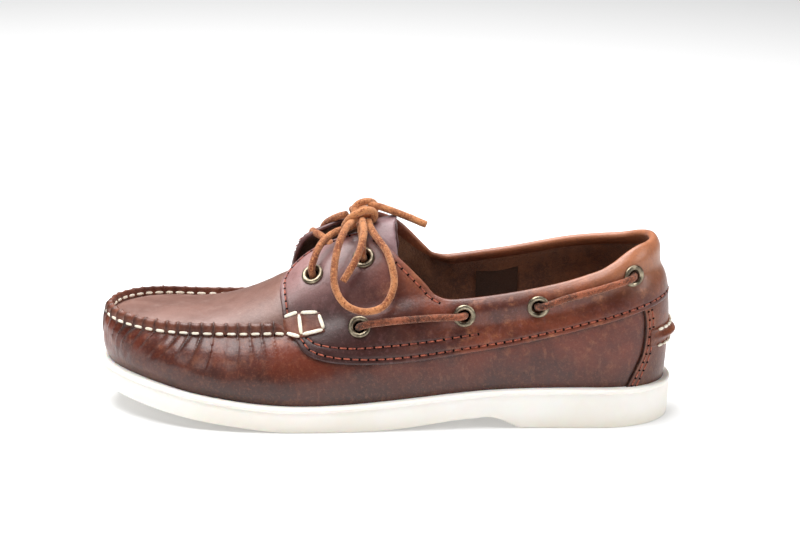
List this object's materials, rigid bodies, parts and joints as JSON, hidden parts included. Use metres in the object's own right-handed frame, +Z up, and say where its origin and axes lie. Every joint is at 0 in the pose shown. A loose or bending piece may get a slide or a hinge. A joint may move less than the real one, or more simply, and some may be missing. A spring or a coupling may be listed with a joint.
{
  "type": "boat shoe",
  "caption": "Low leather boat shoe with a raised moccasin seam, padded collar band, side laces through eyelets, a tied throat lace and a flat rubber sole.",
  "frame": {"origin": "bottom centre of the bounding box, on the plane the sole stands on", "axes": "the toe points to -X and the heel to +X, the outer side of the foot faces -Y, +Z is up"},
  "size_m": [0.3, 0.1082, 0.1103],
  "materials": {
    "sole_rubber": "matte off-white rubber",
    "insole_sock": "soft tan sock leather",
    "upper_leather": "oiled pull-up leather, red-brown",
    "saddle_leather": "oiled pull-up leather, dark red-brown",
    "tongue_leather": "oiled leather with a raw edge",
    "lace_rawhide": "rawhide lace with a soft nap",
    "side_lace_rawhide": "dark rawhide lace",
    "eyelet_brass": "antique brass"
  },
  "bodies": {
    "root": {"outsole": "sole_rubber", "insole": "insole_sock", "upper": "upper_leather", "saddle_outer": "saddle_leather", "saddle_inner": "saddle_leather", "heel_counter": "upper_leather", "heel_kicker": "saddle_leather", "tongue": "tongue_leather", "lace_crossing": "lace_rawhide", "lace_knot": "lace_rawhide", "lace_loop_outer": "lace_rawhide", "lace_loop_inner": "lace_rawhide", "lace_end_front": "lace_rawhide", "lace_end_back": "lace_rawhide", "eyelet_throat_outer_1": "eyelet_brass", "eyelet_throat_outer_2": "eyelet_brass", "eyelet_band_outer_1": "eyelet_brass", "eyelet_band_outer_2": "eyelet_brass", "eyelet_band_outer_3": "eyelet_brass", "eyelet_band_outer_4": "eyelet_brass", "lace_bar_outer_1": "side_lace_rawhide", "lace_bar_outer_2": "side_lace_rawhide", "eyelet_throat_inner_1": "eyelet_brass", "eyelet_throat_inner_2": "eyelet_brass", "eyelet_band_inner_1": "eyelet_brass", "eyelet_band_inner_2": "eyelet_brass", "eyelet_band_inner_3": "eyelet_brass", "eyelet_band_inner_4": "eyelet_brass", "lace_bar_inner_1": "side_lace_rawhide", "lace_bar_inner_2": "side_lace_rawhide"}
  },
  "joints": []
}
